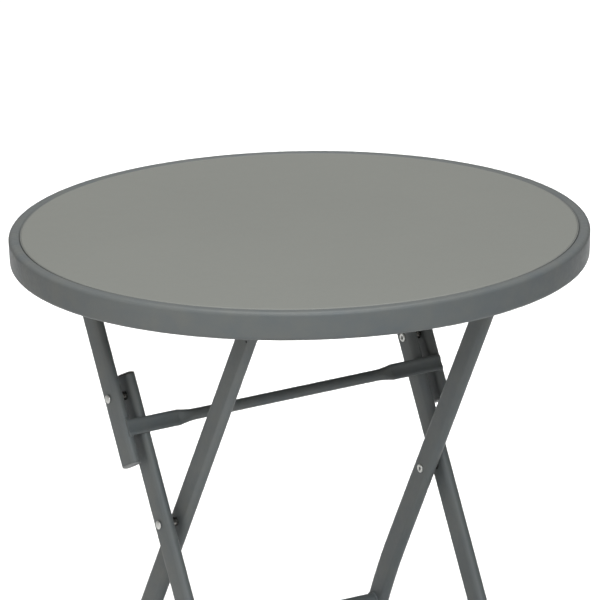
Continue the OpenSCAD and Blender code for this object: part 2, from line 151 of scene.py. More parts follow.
def rounded_box(w, h, r, steps=5):
    """Outline of a rectangle with round corners."""
    x, y = w / 2 - r, h / 2 - r
    return (arc(x, y, r, 0, 90, steps) + arc(-x, y, r, 90, 180, steps)
            + arc(-x, -y, r, 180, 270, steps) + arc(x, -y, r, 270, 360, steps))


def sheet_loop(path, t):
    """Closed outline of bent sheet: the path is its middle, t its thickness."""
    sides = ([], [])
    for i, (x, y) in enumerate(path):
        ax, ay = path[max(i - 1, 0)]
        bx, by = path[min(i + 1, len(path) - 1)]
        length = math.hypot(bx - ax, by - ay)
        nx, ny = -(by - ay) / length * t / 2, (bx - ax) / length * t / 2
        sides[0].append((x + nx, y + ny))
        sides[1].append((x - nx, y - ny))
    return sides[0] + sides[1][::-1]


def skin(bm, rings, closed=False):
    """Faces between rings of equal length; the ends are capped unless the last ring joins the first."""
    rows = [[bm.verts.new(p) for p in ring] for ring in rings]
    n = len(rows[0])
    pairs = list(zip(rows, rows[1:])) + ([(rows[-1], rows[0])] if closed else [])
    for low, high in pairs:
        for i in range(n):
            k = (i + 1) % n
            bm.faces.new((low[i], low[k], high[k], high[i]))
    if not closed:
        bm.faces.new(rows[0][::-1])
        bm.faces.new(rows[-1])


def turned(r, z, i, steps, place):
    """Point at radius r and height z, turned i steps round the Z of place."""
    a = 2 * math.pi * i / steps
    return place @ Vector((r * math.cos(a), r * math.sin(a), z))


def lathe(bm, outline, steps, place=Matrix.Identity(4)):
    """A closed outline of (radius, height) points turned into a ring."""
    skin(bm, [[turned(r, z, i, steps, place) for r, z in outline] for i in range(steps)], closed=True)


def spin_solid(bm, outline, steps, place=Matrix.Identity(4)):
    """A solid of revolution: the outline runs from pole to pole, both left out."""
    skin(bm, [[turned(r, z, i, steps, place) for i in range(steps)] for r, z in outline])


def along_x(x, p, side=RIGHT):
    """Frame at point p and distance x from the middle, its Z pointing outwards along X."""
    turn = Matrix.Rotation(math.radians(90 * side), 4, "Y")
    return Matrix.Translation((side * x, p.y, p.z)) @ turn


def tube_rings(x, stations, outline):
    """Rings of a tube across the YZ plane; a station is (point, lean, scale_w, scale_t)."""
    rings = []
    for p, lean, sw, st in stations:
        v = across(lean)
        rings.append([Vector((x + ox * st, p.y + v.y * oy * sw, p.z + v.z * oy * sw))
                      for ox, oy in outline])
    return rings


def piece(name, bm, material, body, node, smooth=38):
    """Turns a mesh into a finished piece that rides on a body and stands for a CAD node."""
    bmesh.ops.remove_doubles(bm, verts=bm.verts, dist=1e-7)
    bmesh.ops.recalc_face_normals(bm, faces=bm.faces)
    mesh = bpy.data.meshes.new(name)
    bm.to_mesh(mesh)
    bm.free()
    mesh.shade_smooth()
    mesh.set_sharp_from_angle(angle=math.radians(smooth))
    obj = bpy.data.objects.new(name, mesh)
    bpy.context.scene.collection.objects.link(obj)
    mesh.materials.append(material)
    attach(obj, body)
    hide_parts(node)
    return obj


def bead(bm, path, r, closed=False):
    """A weld bead along a path: a round string whose thickness ripples as laid metal does."""
    lumps, taper, facets = 0.16, 0.35, 10
    rings = []
    count = len(path)
    for i, p in enumerate(path):
        a = path[(i - 1) % count] if closed or i else path[0]
        b = path[(i + 1) % count] if closed or i < count - 1 else path[-1]
        forward = (b - a).normalized()
        side = forward.orthogonal().normalized()
        if abs(forward.x) < 0.9:
            side = forward.cross(Vector((1, 0, 0))).normalized()
        rise = forward.cross(side)
        size = r * (1 + lumps * math.sin(i * 1.9) + 0.5 * lumps * math.sin(i * 4.3 + 1))
        if not closed and i in (0, count - 1):
            size *= taper
        rings.append([p + size * (math.cos(t) * side + math.sin(t) * rise)
                      for t in [2 * math.pi * k / facets for k in range(facets)]])
    skin(bm, rings, closed=closed)


# ---------------------------------------------------------------- materials

class Nodes:
    """A material's node tree, with short ways to add and join nodes."""

    def __init__(self, name, slot):
        self.material = bpy.data.materials.new(name)
        self.material["slot"] = slot
        self.material.use_nodes = True
        self.tree = self.material.node_tree
        self.shader = self.tree.nodes["Principled BSDF"]
        self.place = self.add("ShaderNodeTexCoord").outputs["Object"]

    def add(self, kind, **values):
        """Adds a node and sets its properties."""
        node = self.tree.nodes.new(kind)
        for key, value in values.items():
            setattr(node, key, value)
        return node

    def join(self, a, b):
        self.tree.links.new(a, b)

    def noise(self, scale, detail=2.0, roughness=0.5, stretch=None):
        """Noise in the object's own space; stretch scales each axis."""
        node = self.add("ShaderNodeTexNoise")
        node.inputs["Scale"].default_value = scale
        node.inputs["Detail"].default_value = detail
        node.inputs["Roughness"].default_value = roughness
        place = self.place
        if stretch:
            mapping = self.add("ShaderNodeMapping")
            mapping.inputs["Scale"].default_value = stretch
            self.join(place, mapping.inputs["Vector"])
            place = mapping.outputs["Vector"]
        self.join(place, node.inputs["Vector"])
        return node.outputs["Fac"]

    def spread(self, value, low, high, start=0.3, stop=0.7):
        """Maps a noise value from between start and stop to between low and high."""
        node = self.add("ShaderNodeMapRange")
        node.inputs["From Min"].default_value = start
        node.inputs["From Max"].default_value = stop
        node.inputs["To Min"].default_value = low
        node.inputs["To Max"].default_value = high
        self.join(value, node.inputs["Value"])
        return node.outputs["Result"]

    def blend(self, factor, a, b):
        """Mixes two colours, or a socket and a colour, by a factor."""
        node = self.add("ShaderNodeMix", data_type="RGBA")
        self.join(factor, node.inputs[0])
        for socket, colour in ((node.inputs[6], a), (node.inputs[7], b)):
            if isinstance(colour, tuple):
                socket.default_value = (*colour, 1)
            else:
                self.join(colour, socket)
        return node.outputs[2]

    def relief(self, height, strength, distance, base=None):
        """Bump from a height, over the bump in base."""
        node = self.add("ShaderNodeBump")
        node.inputs["Strength"].default_value = strength
        node.inputs["Distance"].default_value = distance
        self.join(height, node.inputs["Height"])
        if base:
            self.join(base, node.inputs["Normal"])
        return node.outputs["Normal"]

    def set(self, **values):
        """Sets constants on the shader's sockets."""
        for key, value in values.items():
            self.shader.inputs[key.replace("_", " ")].default_value = value

    def drive(self, **sockets):
        """Joins sockets to the shader's sockets of those names."""
        for key, socket in sockets.items():
            self.join(socket, self.shader.inputs[key.replace("_", " ")])


def powder_coat():
    """Slate grey powder coat: fine orange peel, slight mottling, convex edges painted lighter as a painted
    highlight with a little rubbed wear.
    """
    m = Nodes("powder_coat", "painted_steel")
    mottle = m.spread(m.noise(38, 4, 0.6), 0, 1, 0.32, 0.68)
    tint = m.blend(mottle, (0.090, 0.098, 0.100), (0.104, 0.108, 0.103))
    speckle = m.spread(m.noise(5200, 1), 0, 0.22, 0.52, 0.75)
    tint = m.blend(speckle, tint, (0.14, 0.146, 0.145))
    # painted highlight: convex edges, found by pointiness, lightened towards a pale blue-grey, partly
    # standing for rubbed wear
    edge = m.spread(m.add("ShaderNodeNewGeometry").outputs["Pointiness"], 0, 0.35, 0.53, 0.62)
    tint = m.blend(edge, tint, (0.17, 0.178, 0.178))
    peel = m.relief(m.noise(900, 2, 0.45), 0.10, 0.00025)
    peel = m.relief(m.noise(3600, 1, 0.5), 0.05, 0.0001, peel)
    m.set(Specular_IOR_Level=0.20)
    m.drive(Base_Color=tint, Normal=peel, Roughness=m.spread(m.noise(210, 3), 0.40, 0.50))
    return m.material


def satin_glass():
    """Tempered glass, satin on top and painted underneath: even grey, with the faintest handling haze."""
    m = Nodes("satin_glass", "glass")
    cloud = m.spread(m.noise(3.2, 3, 0.55), 0, 1, 0.3, 0.7)
    tint = m.blend(cloud, (0.153, 0.156, 0.143), (0.160, 0.163, 0.149))
    grain = m.spread(m.noise(2600, 2, 0.6), 0, 0.18, 0.45, 0.75)
    tint = m.blend(grain, tint, (0.25, 0.25, 0.23))
    haze = m.spread(m.noise(14, 5, 0.65), 0.46, 0.52, 0.35, 0.65)
    frost = m.relief(m.noise(1500, 3, 0.6), 0.05, 0.0001)
    m.set(Specular_IOR_Level=0.22)
    m.drive(Base_Color=tint, Roughness=haze, Normal=frost)
    return m.material


def moulded_plastic(name, dark, light, worn):
    """Moulded plastic with a fine spark-eroded grain, from its dark and light tints and its scuffs."""
    m = Nodes(name, "plastic")
    mottle = m.spread(m.noise(60, 3), 0, 1)
    tint = m.blend(mottle, dark, light)
    scuff = m.spread(m.noise(260, 4, 0.7, stretch=(1, 1, 0.25)), 0, 0.5, 0.62, 0.8)
    tint = m.blend(scuff, tint, worn)
    grain = m.relief(m.noise(2200, 2), 0.18, 0.00015)
    m.drive(Base_Color=tint, Normal=grain, Roughness=m.spread(m.noise(400, 2), 0.5, 0.66))
    return m.material


def soft_rubber():
    """Grey seal rubber, dull and slightly dusty."""
    m = Nodes("soft_rubber", "rubber")
    dust = m.spread(m.noise(180, 5, 0.7), 0, 0.6, 0.45, 0.8)
    tint = m.blend(dust, (0.135, 0.138, 0.130), (0.165, 0.168, 0.158))
    m.drive(Base_Color=tint, Normal=m.relief(m.noise(1600, 2), 0.2, 0.0001),
            Roughness=m.spread(m.noise(300, 2), 0.68, 0.85))
    return m.material


def zinc_steel():
    """Zinc-plated steel: grey-white metal with cloudy spangle and fine turning marks."""
    m = Nodes("zinc_steel", "rivet_steel")
    cloud = m.spread(m.noise(700, 3, 0.6), 0, 1)
    tint = m.blend(cloud, (0.56, 0.56, 0.54), (0.70, 0.69, 0.66))
    grime = m.spread(m.noise(1500, 4, 0.7), 0, 0.55, 0.58, 0.78)
    tint = m.blend(grime, tint, (0.22, 0.21, 0.19))
    marks = m.relief(m.noise(2600, 2, 0.5, stretch=(1, 0.2, 0.2)), 0.15, 0.0001)
    m.set(Metallic=1.0)
    m.drive(Base_Color=tint, Normal=marks, Roughness=m.spread(m.noise(900, 2), 0.28, 0.46))
    return m.material


def shade_dark_steel():
    """Bare turned steel painted dark as shade, standing for the shaded gap between the tubes, glossy enough
    to catch single glints.
    """
    m = Nodes("shade_dark_steel", "rivet_steel")
    # painted shade: both tints are far darker than bare steel, for the dark gap the sleeves sit in
    shade_tone_mix = m.spread(m.noise(500, 4, 0.65), 0, 1, 0.35, 0.65)
    tint = m.blend(shade_tone_mix, (0.15, 0.145, 0.135), (0.27, 0.26, 0.24))
    marks = m.relief(m.noise(2200, 2, 0.5, stretch=(6, 1, 1)), 0.12, 0.0001)
    m.set(Metallic=1.0)
    m.drive(Base_Color=tint, Normal=marks, Roughness=m.spread(m.noise(800, 2), 0.16, 0.30))
    return m.material


PAINT = powder_coat()
GLASS = satin_glass()
PLASTIC = moulded_plastic("moulded_plastic", dark=(0.050, 0.046, 0.040), light=(0.064, 0.058, 0.050),
                          worn=(0.10, 0.095, 0.086))
# a lighter copy of the same plastic as painted light: the links' lower caps catch light from the floor
FLOOR_LIT_PLASTIC = moulded_plastic("floor_lit_plastic", dark=(0.150, 0.153, 0.150), light=(0.180, 0.183, 0.180),
                               worn=(0.23, 0.23, 0.225))
RUBBER = soft_rubber()
ZINC = zinc_steel()
# steel painted dark as shade, for the spacer sleeves in the gap between the tubes
SHADE_DARK_STEEL = shade_dark_steel()


# ---------------------------------------------------------------- table top

def rim_path():
    """Middle of the rim's sheet, from its ledge over the rolled top and down to the bottom roll."""
    outer = RIM_RADIUS - SHEET / 2
    wall = outer - RIM_FLARE
    high = RIM_HIGH - SHEET / 2
    low = RIM_LOW + SHEET / 2
    lip = RIM_RADIUS - RIM_ROLL + SHEET / 2
    ledge = LEDGE_Z - SHEET / 2
    ledge_w, ledge_mid = 15.4 * MM, 6 * MM
    fold_r, lip_r, top_r, bottom_r, curl_r = 1.6 * MM, 3.0 * MM, 4.0 * MM, 4.5 * MM, 1.3 * MM
    path = [(lip - ledge_w, ledge), (lip - ledge_mid, ledge)]
    path += arc(lip - fold_r, ledge + fold_r, fold_r, -90, 0, 6)
    path += arc(lip + lip_r, high - lip_r, lip_r, 180, 90, 10)
    path += arc(outer - top_r, high - top_r, top_r, 90, 0, 12)
    path += [((outer + wall) / 2, (low + high) / 2)]
    path += arc(wall - bottom_r, low + bottom_r, bottom_r, 0, -90, 10)
    path += arc(wall - bottom_r - 2 * curl_r, low + curl_r, curl_r, -90, -200, 8)
    return path


def build_rim():
    """Pressed rim: ledge for the glass, rolled top edge, flared wall and curled bottom edge."""
    bm = bmesh.new()
    lathe(bm, sheet_loop(rim_path(), SHEET), TOP_STEPS)
    piece("rim_shell", bm, PAINT, "table_top", "table_rim", smooth=50)


def build_glass():
    """Round pane with ground edges; rings across its flats keep the faces even."""
    bm = bmesh.new()
    edge, border = 1.0 * MM, 4 * MM
    r = GLASS_RADIUS
    flats = [0.25 * r, 0.6 * r, r - border]
    outline = [(flat, GLASS_LOW) for flat in flats]
    outline += arc(r - edge, GLASS_LOW + edge, edge, -90, 0, 6)
    outline += arc(r - edge, GLASS_HIGH - edge, edge, 0, 90, 6)
    outline += [(flat, GLASS_HIGH) for flat in reversed(flats)]
    spin_solid(bm, outline, TOP_STEPS)
    piece("glass_disc", bm, GLASS, "table_top", "glass_panel", smooth=50)


def build_seal():
    """Angle seal with a soft bead along its top edge."""
    bm = bmesh.new()
    wall, foot_w, top_drop = 1.1 * MM, 13.5 * MM, 0.15 * MM
    outer = RIM_RADIUS - RIM_ROLL - SKIN_GAP
    foot = outer - foot_w
    foot_top = GLASS_LOW - SKIN_GAP
    top = GLASS_HIGH - top_drop
    outline = [(foot, LEDGE_Z), (outer, LEDGE_Z)]
    outline += arc(outer - wall / 2, top - wall / 2, wall / 2, 0, 180, 8)
    outline += [(outer - wall, foot_top), (foot, foot_top)]
    lathe(bm, outline, TOP_STEPS)
    piece("seal_ring", bm, RUBBER, "table_top", "glass_seal", smooth=50)


def build_pads():
    """Three round rubber pads on each rail, under the glass."""
    bm = bmesh.new()
    low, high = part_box("glass_pads")[0][2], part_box("glass_pads")[1][2]
    r, edge, facets = 9 * MM, 0.8 * MM, 40
    outline = [(r * 0.5, low)]
    outline += arc(r - edge, low + edge, edge, -90, 0, 4)
    outline += arc(r - edge, high - edge, edge, 0, 90, 4)
    outline += [(r * 0.5, high)]
    for y in (FRONT_PIVOT.y, REAR_PIVOT.y):
        for x in (-INNER_X, 0, INNER_X):
            spin_solid(bm, outline, facets, Matrix.Translation((x, y, 0)))
    piece("support_pads", bm, RUBBER, "table_top", "glass_pads")


def build_rail(name, node):
    """Box-section rail with round corners, open at its ends, and welds where it meets the rim's ledge."""
    bm = bmesh.new()
    low, high = (Vector(c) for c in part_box(node))
    size, centre = high - low, (low + high) / 2
    wall, outer_r, inner_r = 1.5 * MM, 2.6 * MM, 1.2 * MM
    weld_r, weld_step, weld_inset = 1.9 * MM, 2.0 * MM, 1 * MM
    outer = rounded_box(size.y, size.z, outer_r)
    inner = rounded_box(size.y - 2 * wall, size.z - 2 * wall, inner_r)
    rings = []
    for x, outline in ((low.x, outer), (high.x, outer), (high.x, inner), (low.x, inner)):
        rings.append([Vector((x, centre.y + a, centre.z + b)) for a, b in outline])
    skin(bm, rings, closed=True)
    for side in SIDES.values():
        for edge in (low.y, high.y):
            start = side * math.sqrt((RIM_RADIUS - RIM_ROLL - weld_inset) ** 2 - edge ** 2)
            path = [Vector((start - side * weld_step * i, edge, high.z - weld_inset)) for i in range(7)]
            bead(bm, path, weld_r)
    piece(name, bm, PAINT, "table_top", node)


def bracket_strip(bm, side, ear_x, pivot, ceiling, flange):
    """Pressed angle bracket: a rounded ear hanging from a flange that is bent outwards under the rail."""
    r, t, bend, edge = BRACKET_R, BRACKET_T, 3.2 * MM, 0.35 * MM
    # The path is (x, height, half width): round the ear's end, up it, then out along the flange.
    heights = [-r + r * (1 - math.cos(math.radians(a))) for a in range(6, 91, 7)] + [4 * MM, 12 * MM]
    path = [(ear_x, pivot.z + h, math.sqrt(max(r * r - min(h, 0) ** 2, 1e-8))) for h in heights]
    top = ceiling - t / 2
    for a in range(0, 91, 15):
        s, c = math.sin(math.radians(a)), math.cos(math.radians(a))
        path.append((ear_x + bend * (1 - c), top - bend + bend * s, r))
    path.append((ear_x + flange * 0.6, top, r))
    path.append((ear_x + flange * 0.93, top, r))
    path.append((ear_x + flange, top, r * 0.86))
    rings = []
    for i, (x, z, half) in enumerate(path):
        ax, az, _ = path[max(i - 1, 0)]
        bx, bz, _ = path[min(i + 1, len(path) - 1)]
        length = math.hypot(bx - ax, bz - az)
        nx, nz = -(bz - az) / length * t / 2, (bx - ax) / length * t / 2
        outline = [(nx, nz, half - edge), (0.6 * nx, 0.6 * nz, half), (-0.6 * nx, -0.6 * nz, half),
                   (-nx, -nz, half - edge), (-nx, -nz, edge - half), (-0.6 * nx, -0.6 * nz, -half),
                   (0.6 * nx, 0.6 * nz, -half), (nx, nz, edge - half)]
        rings.append([Vector((side * (x + ox), pivot.y + oy, z + oz)) for ox, oz, oy in outline])
    skin(bm, rings)


def build_brackets(name, node, pivot, ear_x):
    """A pair of brackets, each welded along both edges of its flange."""
    bm = bmesh.new()
    weld_r, weld_drop = 1.4 * MM, 0.8 * MM
    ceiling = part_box("front_rail")[0][2]
    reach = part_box(node)[1][0] - ear_x
    for side in SIDES.values():
        bracket_strip(bm, side, ear_x, pivot, ceiling, reach)
        for edge in (-BRACKET_R, BRACKET_R):
            path = [Vector((side * (ear_x + reach * (0.15 + 0.75 * i / 12)), pivot.y + edge,
                            ceiling - weld_drop)) for i in range(13)]
            bead(bm, path, weld_r)
    piece(name, bm, PAINT, "table_top", node, smooth=30)


# ---------------------------------------------------------------- tubes

def level_station(p, lean):
    """A station cut level through a leaning tube at point p."""
    return p, 0, 1 / math.cos(lean), 1


def stations_straight(low, high, lean):
    """A straight tube's stations with ends eased over a small bevel."""
    v = up(lean)
    bevel = 0.5 * MM
    ease_w, ease_t = 1 - 2 * bevel / TUBE_W, 1 - 2 * bevel / TUBE_T
    return [(low, lean, ease_w, ease_t), (low + bevel * v, lean, 1, 1),
            (high - bevel * v, lean, 1, 1), (high, lean, ease_w, ease_t)]


def bend_stations(steps=18):
    """The inner leg's bend, from its lower end up."""
    top = SCISSOR - BEND_START * up(INNER_LEAN)
    centre = top - BEND_RADIUS * across(INNER_LEAN)
    leans = [INNER_LEAN - BEND_ANGLE * (1 - i / steps) for i in range(steps + 1)]
    return [(centre + BEND_RADIUS * across(a), a, 1, 1) for a in leans]


def foot_point(p, lean, z):
    """Where the line through p with that lean meets height z."""
    v = up(lean)
    return p + v * ((z - p.z) / v.z)


def build_inner_leg(word, side):
    """Leg that carries the front of the top: straight, bent below the scissor, with a vent hole."""
    bend = bend_stations()
    low_lean = bend[0][1]
    bottom = foot_point(bend[0][0], low_lean, LEG_CUT_Z)
    stations = [level_station(bottom, low_lean)] + bend
    stations += stations_straight(bend[-1][0], INNER_TOP, INNER_LEAN)[2:]
    bm = bmesh.new()
    skin(bm, tube_rings(side * INNER_X, stations, oval(TUBE_W, TUBE_T)))
    leg = piece(f"inner_tube_{word}", bm, PAINT, "inner_legs", f"inner_leg_{word}")
    drill_vent(leg, side)


def drill_vent(leg, side):
    """The small vent hole in the outer face, cut as a real hole."""
    drop, forward = 5.4 * MM, 7.3 * MM
    r, depth, proud = 1.3 * MM, 4 * MM, 2 * MM
    p = FRONT_PIVOT - drop * up(INNER_LEAN) - forward * across(INNER_LEAN)
    bm = bmesh.new()
    spin_solid(bm, [(r, -depth), (r, proud)], 24, along_x(INNER_X + FACE, p, side))
    mesh = bpy.data.meshes.new("vent_cutter")
    bm.to_mesh(mesh)
    bm.free()
    cutter = bpy.data.objects.new("vent_cutter", mesh)
    bpy.context.scene.collection.objects.link(cutter)
    cut = leg.modifiers.new("vent", "BOOLEAN")
    cut.operation = "DIFFERENCE"
    cut.object = cutter
    cut.solver = "EXACT"
    bpy.context.view_layer.update()
    result = bpy.data.meshes.new_from_object(leg.evaluated_get(bpy.context.evaluated_depsgraph_get()))
    leg.modifiers.clear()
    leg.data = result
    bpy.data.objects.remove(cutter)


def build_outer_leg(word, side):
    """Straight leg from its foot to just above the link pivot."""
    bottom = foot_point(SCISSOR, OUTER_LEAN, LEG_CUT_Z)
    stations = [level_station(bottom, OUTER_LEAN)]
    stations += stations_straight(SCISSOR, OUTER_TOP, OUTER_LEAN)[1:]
    bm = bmesh.new()
    skin(bm, tube_rings(side * OUTER_X, stations, oval(TUBE_W, TUBE_T)))
    piece(f"outer_tube_{word}", bm, PAINT, "outer_legs", f"outer_leg_{word}")


def link_axis(distance):
    """Point on the link's centre line, measured up from its pivot."""
    return LINK_PIVOT + distance * up(OUTER_LEAN) - MOVE_GAP * across(OUTER_LEAN)


def build_link(word, side):
    """Short straight tube outside the outer leg, up to the rear top pivot."""
    bm = bmesh.new()
    stations = stations_straight(LINK_LOW, LINK_HIGH, OUTER_LEAN)
    skin(bm, tube_rings(side * LINK_X, stations, oval(TUBE_W, TUBE_T)))
    piece(f"link_tube_{word}", bm, PAINT, "links", f"link_{word}")


def plug_stations(p, lean, way):
    """A domed plug on a tube's end: a thin collar, then a low dome. way is 1 up the tube, -1 down."""
    collar, dome_h, dome_r, rings = 0.9 * MM, 2.1 * MM, 5.2 * MM, 8
    spots = [(0.05 * MM, 0.985, 0.965), (0.25 * MM, 1.0, 1.0), (collar, 1.0, 1.0)]
    for i in range(1, rings):
        a = math.radians(90 * i / rings)
        shrink = dome_r * (1 - math.cos(a))
        spots.append((collar + dome_h * math.sin(a), 1 - 2 * shrink / TUBE_W, 1 - 2 * shrink / TUBE_T))
    return [(p + way * up(lean) * rise, lean, sw, st) for rise, sw, st in spots]


def build_plugs(name, body, node, spots, material):
    """Plugs at (x, point, lean, way) spots."""
    bm = bmesh.new()
    for x, p, lean, way in spots:
        skin(bm, tube_rings(x, plug_stations(p, lean, way), oval(TUBE_W, TUBE_T)))
    piece(name, bm, material, body, node)


def build_foot(name, body, node, x, p, lean):
    """Moulded foot: a sleeve with two grip grooves, on a sole cut level with the floor.

    Its rings are given in millimetres: (height or rise along the leg, inset from the full outline)."""
    wall = 1.5 * MM
    full_w, full_t = TUBE_W + 2 * wall, TUBE_T + 2 * wall
    stretch = 1 / math.cos(lean)
    sleeve_z, level_z, tilt_span = 10, 1, 11
    sole = ((0.03, 0.7), (0.4, 0.25), (1.0, 0.0), (4.0, 0.0))
    grooves = ((3, 0), (3.5, 0.5), (4.5, 0.5), (5, 0), (8, 0), (8.5, 0.5), (9.5, 0.5), (10, 0))
    mouth = ((20, 0.1), (22.6, 0.2), (23.4, 0.5), (23.8, 1.0), (23.8, 1.4))

    def scale(inset):
        return 1 - 2 * inset / full_w, 1 - 2 * inset / full_t

    stations = []
    for z, inset in sole:
        sw, st = scale(inset * MM)
        tilt = max(0, z - level_z) / tilt_span
        stations.append((foot_point(p, lean, z * MM), lean * tilt,
                         sw * (stretch + (1 - stretch) * tilt), st))
    base = foot_point(p, lean, sleeve_z * MM)
    for rise, inset in ((0, 0), *grooves, *mouth):
        stations.append((base + rise * MM * up(lean), lean, *scale(inset * MM)))
    bm = bmesh.new()
    skin(bm, tube_rings(x, stations, oval(full_w, full_t)))
    piece(name, bm, PLASTIC, body, node, smooth=35)


def build_stretcher(name, body, node):
    """Round bar between two legs, with a weld ring at each end."""
    low, high = (Vector(c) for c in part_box(node))
    r = (high.z - low.z) / 2
    centre = (low + high) / 2
    weld_r, weld_inset, weld_out = 1.6 * MM, 0.6 * MM, 0.4 * MM

    def circle(x, radius, facets):
        points = arc(0, 0, radius, 0, 360 - 360 / facets, facets - 1)
        return [Vector((x, centre.y + a, centre.z + b)) for a, b in points]

    bm = bmesh.new()
    skin(bm, [circle(x, r, 40) for x in (low.x, low.x / 3, high.x / 3, high.x)])
    for x in (low.x + weld_inset, high.x - weld_inset):
        bead(bm, circle(x, r + weld_out, 36), weld_r, closed=True)
    piece(name, bm, PAINT, body, node)


# ---------------------------------------------------------------- crossbar

BAR_R = 6 * MM  # the round middle
CRUSHED_HALF_H = 8.5 * MM
CRUSHED_HALF_T = 1.75 * MM


def crossbar_section(flat, steps=56):
    """Section of the crossbar, from round at flat = 0 to a crushed tube at flat = 1: (depth, height).

    A crushed tube keeps a fat bead along each edge and a shallow trough between them."""
    trough, trough_edge = 0.40, 0.62
    points = []
    for i in range(steps):
        a = 2 * math.pi * i / steps
        c, s = math.cos(a), math.sin(a)
        height = math.copysign(abs(s) ** (1 - 0.35 * flat), s)
        crushed = math.sqrt(max(0, 1 - abs(height) ** 7))
        crushed *= trough + (1 - trough) * min(1, (height / trough_edge) ** 2)
        depth = (abs(c) * BAR_R * (1 - flat) + crushed * CRUSHED_HALF_T * flat) * math.copysign(1, c)
        points.append((depth if abs(c) > 1e-9 else 0, height * (BAR_R + (CRUSHED_HALF_H - BAR_R) * flat)))
    return points


def build_crossbar():
    """Round bar crushed flat at its ends, which lie across the links' front edges."""
    v, n = up(OUTER_LEAN), across(OUTER_LEAN)
    below_pivot, past_link = 35 * MM, 2 * MM
    round_x, flat_x, crush_ease = 113 * MM, 133 * MM, 1.6
    bevel, bevel_depth = 1.0 * MM, 0.12
    weld_r, weld_step, weld_up, weld_in = 1.5 * MM, 1.0 * MM, 8.3 * MM, 1.6 * MM
    weld_start = LINK_X - 3 * MM
    centre = link_axis(-below_pivot) - (TUBE_W / 2 + CRUSHED_HALF_T) * n
    end = LINK_X + past_link
    # Rings lie close together through the crush and at the bevelled ends.
    stops = [0, 0.5 * round_x, 0.9 * round_x]
    stops += [round_x + (flat_x - round_x) * i / 12 for i in range(13)]
    stops += [flat_x + 0.6 * MM, flat_x + 14 * MM, end - 10 * MM, end - bevel, end - 0.4 * bevel, end]
    spots = [-x for x in reversed(stops[1:])] + stops
    rings = []
    for x in spots:
        flat = min(max((abs(x) - round_x) / (flat_x - round_x), 0), 1) ** crush_ease
        trim = 1 - bevel_depth * max(0, (abs(x) - end + bevel) / bevel) ** 2
        rings.append([centre + Vector((x, 0, 0)) + n * d * trim + v * h * trim
                      for d, h in crossbar_section(flat)])
    bm = bmesh.new()
    skin(bm, rings)
    for side in SIDES.values():
        for edge in (-1, 1):
            spot = centre + v * edge * weld_up + n * weld_in
            path = [spot + Vector((side * (weld_start + i * weld_step), 0, 0)) for i in range(6)]
            bead(bm, path, weld_r)
    piece("crushed_crossbar", bm, PAINT, "links", "link_crossbar", smooth=45)


# ---------------------------------------------------------------- fasteners

def rolled_end(z):
    """Outline of a rivet's curled end below z, from its bore round to its shank."""
    middle_r, reach = (RIVET_HEAD + RIVET_BORE) / 2, (RIVET_HEAD - RIVET_BORE) / 2
    curl = RIVET_ROLL / 2
    turn = [math.radians(t) for t in range(-180, 1, 15)]
    outline = [(middle_r + reach * math.cos(a), z - curl + curl * math.sin(a)) for a in turn]
    return outline + [(RIVET_HEAD, z)]


def domed_head(z):
    """Outline of a rivet's factory head above z: a short neck, then a mushroom cap up to the axis."""
    tall, neck, brim, neck_r = 2.15 * MM, 1.2 * MM, 0.25 * MM, 3.5 * MM
    cap_r, cap_low, cap_h = RIVET_HEAD - 0.05 * MM, z + neck + brim, tall - neck - brim
    outline = [(neck_r, z), (neck_r, z + neck), (RIVET_HEAD - 0.2 * MM, z + neck),
               (RIVET_HEAD, z + neck + 0.6 * brim)]
    for i in range(13):
        a = math.radians(7 * i)
        outline.append((cap_r * math.cos(a), cap_low + cap_h * math.sin(a)))
    return outline


def rivet_outline(x0, x1, rolled, domed):
    """Outline of a half-tubular rivet along its own axis, from inside its bore to its far end."""
    bottom = min(x0 + RIVET_BORE_DEPTH, x1 - 0.3 * MM)
    outline = [(0.2 * MM, bottom), (RIVET_BORE - 0.3 * MM, bottom - 0.3 * MM),
               (RIVET_BORE, bottom - 0.8 * MM)]
    outline += rolled_end(x0) if rolled else [(RIVET_BORE, x0)]
    outline += [(RIVET_R, x0), (RIVET_R, x1)]
    outline += domed_head(x1) if domed else [(0.2 * MM, x1)]
    return outline


def build_rivets(name, body, node, p, x0, x1, rolled=True, domed=True):
    """A rivet in each side's legs; x0 is its inner end and x1 its outer end."""
    bm = bmesh.new()
    for side in SIDES.values():
        spin_solid(bm, rivet_outline(x0, x1, rolled, domed), RIVET_STEPS, along_x(0, p, side))
    piece(name, bm, ZINC, body, node, smooth=40)


def build_spacers(name, body, node, p, x0, x1):
    """A turned sleeve round each side's rivet, from x0 out to x1."""
    bm = bmesh.new()
    r, bore, edge = 4.75 * MM, 3.05 * MM, 0.4 * MM
    outline = [(bore, x0), (r - edge, x0), (r, x0 + edge), (r, x1 - edge), (r - edge, x1), (bore, x1)]
    for side in SIDES.values():
        lathe(bm, outline, RIVET_STEPS, along_x(0, p, side))
    piece(name, bm, SHADE_DARK_STEEL, body, node)


# ---------------------------------------------------------------- everything

FRONT_EAR = INNER_X - FACE - MOVE_GAP - BRACKET_T / 2
REAR_EAR = LINK_X + FACE + MOVE_GAP + BRACKET_T / 2
BEND_LOW, FOOT_LEAN = bend_stations()[0][:2]
INNER_FOOT = foot_point(BEND_LOW, FOOT_LEAN, 0)
OUTER_FOOT = foot_point(SCISSOR, OUTER_LEAN, 0)
INNER_TOP = FRONT_PIVOT + TOP_END * up(INNER_LEAN)
OUTER_TOP = LINK_PIVOT + OUTER_END * up(OUTER_LEAN)
LINK_LOW = link_axis(-LINK_TAIL)
LINK_HIGH = link_axis(LINK_REACH + TOP_END)

build_rim()
build_glass()
build_seal()
build_pads()
build_rail("rail_front", "front_rail")
build_rail("rail_rear", "rear_rail")
build_brackets("brackets_front", "front_pivot_brackets", FRONT_PIVOT, FRONT_EAR)
build_brackets("brackets_rear", "rear_pivot_brackets", REAR_PIVOT, REAR_EAR)

